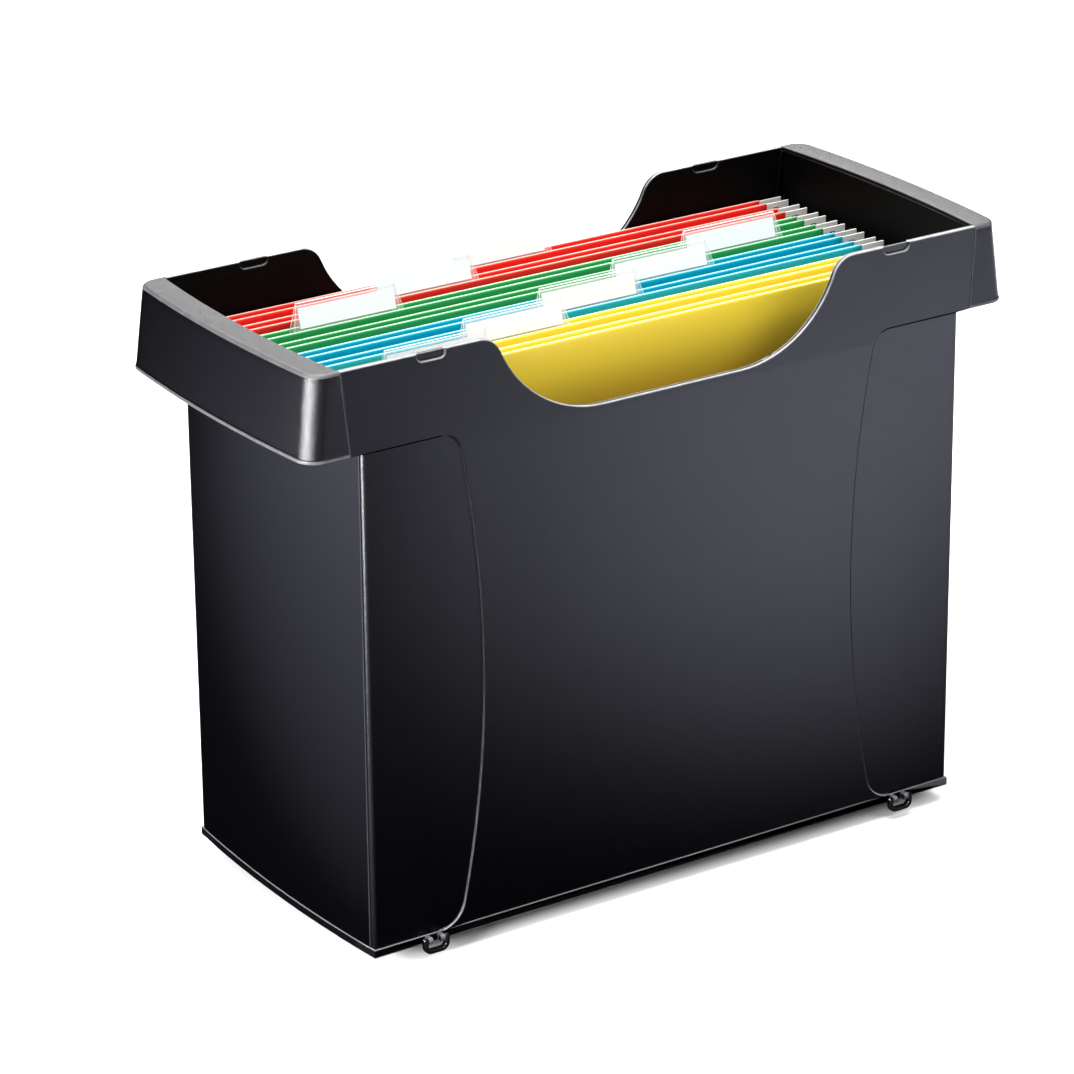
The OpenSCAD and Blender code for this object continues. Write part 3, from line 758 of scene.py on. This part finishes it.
# The tree that sweeps the card's path along X: each row of a grid follows one point of the path
def cardTree():
    tree = bpy.data.node_groups.new("suspension card", "GeometryNodeTree")
    face = tree.interface
    face.new_socket("Geometry", in_out="INPUT", socket_type="NodeSocketGeometry")
    for label, kind, value in (("Length", "NodeSocketFloat", 0.318), ("Columns", "NodeSocketInt", 60),
                               ("Wave", "NodeSocketFloat", 0.0005), ("Wave Scale", "NodeSocketFloat", 9.0),
                               ("Bulge", "NodeSocketFloat", 0.0005), ("Seed", "NodeSocketFloat", 0.0)):
        face.new_socket(label, in_out="INPUT", socket_type=kind).default_value = value
    face.new_socket("Material", in_out="INPUT", socket_type="NodeSocketMaterial")
    face.new_socket("Geometry", in_out="OUTPUT", socket_type="NodeSocketGeometry")
    nodes, links = tree.nodes, tree.links
    source, sink = nodes.new("NodeGroupInput"), nodes.new("NodeGroupOutput")

    size = nodes.new("GeometryNodeAttributeDomainSize")
    links.new(source.outputs["Geometry"], size.inputs[0])
    grid = nodes.new("GeometryNodeMeshGrid")
    grid.inputs["Size Y"].default_value = 1.0
    wire(tree, (source.outputs["Length"], grid.inputs["Size X"]),
         (source.outputs["Columns"], grid.inputs["Vertices X"]),
         (size.outputs["Point Count"], grid.inputs["Vertices Y"]))
    row = nodes.new("FunctionNodeIntegerMath")
    row.operation = "MODULO"
    wire(tree, (nodes.new("GeometryNodeInputIndex").outputs[0], row.inputs[0]),
         (size.outputs["Point Count"], row.inputs[1]))

    def sampleRow(kind, value):
        sample = nodes.new("GeometryNodeSampleIndex")
        sample.data_type = kind
        wire(tree, (source.outputs["Geometry"], sample.inputs["Geometry"]), (value, sample.inputs["Value"]),
             (row.outputs[0], sample.inputs["Index"]))
        return sample.outputs["Value"]

    def attributeAt(name):
        named = nodes.new("GeometryNodeInputNamedAttribute")
        named.data_type = "FLOAT"
        named.inputs["Name"].default_value = name
        return sampleRow("FLOAT", named.outputs["Attribute"])

    path = nodes.new("ShaderNodeSeparateXYZ")
    links.new(sampleRow("FLOAT_VECTOR", nodes.new("GeometryNodeInputPosition").outputs[0]), path.inputs[0])
    here = nodes.new("ShaderNodeSeparateXYZ")
    links.new(nodes.new("GeometryNodeInputPosition").outputs[0], here.inputs[0])

    along = nodes.new("ShaderNodeCombineXYZ")
    wire(tree, (here.outputs["X"], along.inputs["X"]), (path.outputs["Z"], along.inputs["Z"]))
    noise = nodes.new("ShaderNodeTexNoise")
    noise.noise_dimensions = "4D"
    noise.inputs["Detail"].default_value = 1.5
    wire(tree, (along.outputs[0], noise.inputs["Vector"]), (source.outputs["Seed"], noise.inputs["W"]),
         (source.outputs["Wave Scale"], noise.inputs["Scale"]))
    swing = mathNode(tree, "MULTIPLY", mathNode(tree, "SUBTRACT", noise.outputs[0], 0.5), 2.0)
    wave = mathNode(tree, "MULTIPLY", swing, source.outputs["Wave"])
    outward = mathNode(tree, "MULTIPLY", mathNode(tree, "SIGN", path.outputs["Y"]), source.outputs["Bulge"])
    offset = mathNode(tree, "MULTIPLY", mathNode(tree, "ADD", wave, outward), attributeAt("sag"))
    place = nodes.new("ShaderNodeCombineXYZ")
    wire(tree, (here.outputs["X"], place.inputs["X"]), (path.outputs["Z"], place.inputs["Z"]),
         (mathNode(tree, "ADD", path.outputs["Y"], offset), place.inputs["Y"]))
    setPlace = nodes.new("GeometryNodeSetPosition")
    wire(tree, (grid.outputs["Mesh"], setPlace.inputs["Geometry"]), (place.outputs[0], setPlace.inputs["Position"]))
    made = setPlace.outputs[0]
    # Carries the shares of painted highlight and painted shade on to the card
    for label in ("foldHighlight", "hemShade"):
        store = nodes.new("GeometryNodeStoreNamedAttribute")
        store.inputs["Name"].default_value = label
        wire(tree, (made, store.inputs["Geometry"]), (attributeAt(label), store.inputs["Value"]))
        made = store.outputs[0]
    smooth = nodes.new("GeometryNodeSetShadeSmooth")
    real = nodes.new("GeometryNodeRealizeInstances")
    setMaterial = nodes.new("GeometryNodeSetMaterial")
    wire(tree, (made, smooth.inputs["Geometry"]), (smooth.outputs[0], real.inputs["Geometry"]),
         (real.outputs[0], setMaterial.inputs["Geometry"]),
         (source.outputs["Material"], setMaterial.inputs["Material"]),
         (setMaterial.outputs[0], sink.inputs["Geometry"]))
    return tree


# Sets a modifier's inputs by name, each by its socket's identifier
def setInputs(modifier, **values):
    for item in modifier.node_group.interface.items_tree:
        label = item.name.replace(" ", "")
        if item.item_type == "SOCKET" and item.in_out == "INPUT" and label in values:
            modifier[item.identifier] = values[label]


cardNodes = cardTree()


def buildCard(i, colour):
    node = f"file_{i}_pocket"
    low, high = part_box(node)
    centreY = (low.y + high.y) / 2
    path = cardPath()
    mesh = bpy.data.meshes.new(node + "_card")
    points = [(0.0, centreY + y, high.z - z) for y, z, _, _ in path]
    mesh.from_pydata(points, [(k, k + 1) for k in range(len(points) - 1)], [])
    columns = {"sag": [p[2] for p in path], "foldHighlight": [p[3] for p in path], "hemShade": [hemShade(p[1]) for p in path]}
    for label, column in columns.items():
        mesh.attributes.new(label, "FLOAT", "POINT").data.foreach_set("value", [float(v) for v in column])
    obj = meshObject(f"fileCard_{i}", mesh, f"card_{colour}")
    mod = obj.modifiers.new("card", "NODES")
    mod.node_group = cardNodes
    setInputs(mod, Length=high.x - low.x, Columns=files["columns"], Wave=files["wave"],
              WaveScale=files["waveScale"], Bulge=files["bulge"], Seed=files["seed"] * i,
              Material=looks[f"card_{colour}"])
    thick = obj.modifiers.new("card thickness", "SOLIDIFY")
    thick.thickness = files["card"]
    thick.offset = 0.0
    finished(obj)
    dress(obj, node)


def buildLabel(i):
    node = f"file_{i}_label"
    mesh = meshFrom(mergedCopy(node, files["labelFlat"]), node + "_sheet")
    obj = meshObject(f"label_{i}", mesh, "label_paper")
    bevel(obj, files["labelEdge"], 2, copied["sharp"])
    finished(obj)
    dress(obj, node)


for i, colour in enumerate(fileColours, 1):
    buildCard(i, colour)
    for part in ("back", "front"):
        softenedCopy(f"file_{i}_bar_{part}", f"fileBar_{i}_{part}", files["barEdge"], 2)
    softenedCopy(f"file_{i}_tab", f"tabHolder_{i}", files["tabEdge"], 2)
    buildLabel(i)
print("files built", len(fileColours))


# Floor, backdrop and studio lights
studio = {"floor": 8.0, "rough": 0.8, "pale": 0.9, "dark": 0.002, "shine": (0.80, 0.82, 1.0), "strength": 10.0,
          "sky": 1.0, "fill": 0.65, "glint": 0.004}
pools = [{"centre": (0.573, 0.708), "turn": 45.3, "across": 0.07, "along": 0.303, "gain": 0.95},
         {"centre": (0.258, 0.347), "turn": 40.8, "across": 0.10, "along": 0.159, "gain": 0.185},
         {"centre": (0.488, 0.485), "turn": 92.4, "across": 0.127, "along": 0.30, "gain": 0.166},
         {"centre": (0.95, 0.50), "turn": 0.0, "across": 0.26, "along": 0.40, "gain": 0.34}]
slope = {"x": -2.08, "y": -0.475, "start": 0.42, "gain": 0.18, "far": 0.88, "fade": 0.34, "most": 0.15}


# The sum of two values, each times its factor
def sumNode(tree, x, y):
    return mathNode(tree, "ADD", mathNode(tree, "MULTIPLY", *x), mathNode(tree, "MULTIPLY", *y))


# A painted pool of light glowing from the floor at the right, in front and behind
def poolGlow(tree, x, y, s):
    turn = math.radians(s["turn"])
    dx = mathNode(tree, "SUBTRACT", x, s["centre"][0])
    dy = mathNode(tree, "SUBTRACT", mathNode(tree, "ABSOLUTE", y), s["centre"][1])
    squares = []
    directions = ((math.cos(turn), -math.sin(turn), s["across"]), (math.sin(turn), math.cos(turn), s["along"]))
    for a, b, radius in directions:
        part = sumNode(tree, x=(dx, a / radius), y=(dy, b / radius))
        squares.append(mathNode(tree, "MULTIPLY", part, part))
    fall = mathNode(tree, "EXPONENT", mathNode(tree, "MULTIPLY", mathNode(tree, "ADD", *squares), -1.0))
    return mathNode(tree, "MULTIPLY", fall, s["gain"])


# A painted glow on the floor to the left, fading far behind
def slopeGlow(tree, x, y):
    s = slope
    rise = mathNode(tree, "SUBTRACT", sumNode(tree, x=(x, s["x"]), y=(y, s["y"])), s["start"])
    tone = mathNode(tree, "MAXIMUM", mathNode(tree, "MULTIPLY", rise, s["gain"]), 0.0)
    fade = mathNode(tree, "MULTIPLY", mathNode(tree, "SUBTRACT", s["far"], y), 1 / s["fade"], clamp=True)
    return mathNode(tree, "MINIMUM", mathNode(tree, "MULTIPLY", tone, fade), s["most"])


# Painted reflections: the glow the glossy walls mirror from the floor, dark beside the box, brighter at the right and
# to the left
def floorShine(tree):
    split = tree.nodes.new("ShaderNodeSeparateXYZ")
    tree.links.new(tree.nodes.new("ShaderNodeTexCoord").outputs["Object"], split.inputs[0])
    x, y = split.outputs["X"], split.outputs["Y"]
    tone = slopeGlow(tree, x, y)
    for s in pools:
        tone = mathNode(tree, "ADD", tone, poolGlow(tree, x, y, s), clamp=True)
    return tone


def buildFloor():
    s = studio
    bm = bmesh.new()
    bmesh.ops.create_grid(bm, x_segments=8, y_segments=8, size=s["floor"] / 2)
    mesh = meshFrom(bm, "floor")
    floor = bpy.data.objects.new("floor", mesh)
    bpy.context.scene.collection.objects.link(floor)
    # Pale to the camera and to matt surfaces; to glossy rays nearly black and glowing with the painted pools, which
    # the walls show as painted reflections
    material, tree, shader = newMaterial("pale floor", s["rough"], 0.0)
    glossy = tree.nodes.new("ShaderNodeLightPath").outputs["Is Glossy Ray"]
    shine = mathNode(tree, "MULTIPLY", floorShine(tree), glossy)
    wire(tree, (mixColour(tree, glossy, (s["pale"],) * 3, (s["dark"],) * 3), shader.inputs["Base Color"]),
         (mixColour(tree, shine, (0.0, 0.0, 0.0), s["shine"]), shader.inputs["Emission Color"]))
    shader.inputs["Emission Strength"].default_value = s["strength"]
    mesh.materials.append(material)


# White to the camera, a soft fill for matt surfaces, and nearly black to glossy ones
def buildWorld():
    world = bpy.data.worlds.new("studio")
    bpy.context.scene.world = world
    world.use_nodes = True
    tree = world.node_tree
    background = tree.nodes["Background"]
    ray = tree.nodes.new("ShaderNodeLightPath").outputs
    seen = mathNode(tree, "MULTIPLY", ray["Is Camera Ray"], studio["sky"])
    fill = mathNode(tree, "MULTIPLY", ray["Is Diffuse Ray"], studio["fill"])
    strength = mathNode(tree, "MAXIMUM", mathNode(tree, "MAXIMUM", seen, fill), studio["glint"])
    background.inputs["Color"].default_value = (1, 1, 1, 1)
    wire(tree, (strength, background.inputs["Strength"]))


lights = {
    "overhead": {"place": (-0.1, 0.1, 1.8), "aim": (0.0, 0.0, 0.2), "size": (1.6, 1.4), "power": 72},
    "backSheet": {"place": (1.15, 1.75, 1.15), "aim": (0.0, 0.0, 0.29), "size": (1.5, 0.9), "power": 19},
    "leftStrip": {"place": (-0.67, -0.158, 0.176), "aim": (-0.19, -0.073, 0.28), "size": (0.34, 0.14), "power": 12.0},
    "frontFill": {"place": (0.5, -1.6, 1.5), "aim": (0.05, 0.0, 0.25), "size": (1.2, 0.9), "power": 14, "matt": True},
}


def buildLight(name, s):
    data = bpy.data.lights.new(name, "AREA")
    data.shape = "RECTANGLE"
    data.size, data.size_y = s["size"]
    data.energy = s["power"]
    obj = bpy.data.objects.new(name, data)
    obj.location = s["place"]
    obj.rotation_euler = (Vector(s["aim"]) - Vector(s["place"])).to_track_quat("-Z", "Y").to_euler()
    obj.visible_camera = False
    obj.visible_glossy = not s.get("matt", False)
    bpy.context.scene.collection.objects.link(obj)


buildFloor()
buildWorld()
for name, s in lights.items():
    buildLight(name, s)
bpy.context.scene.view_settings.view_transform = "Standard"
print("studio built")
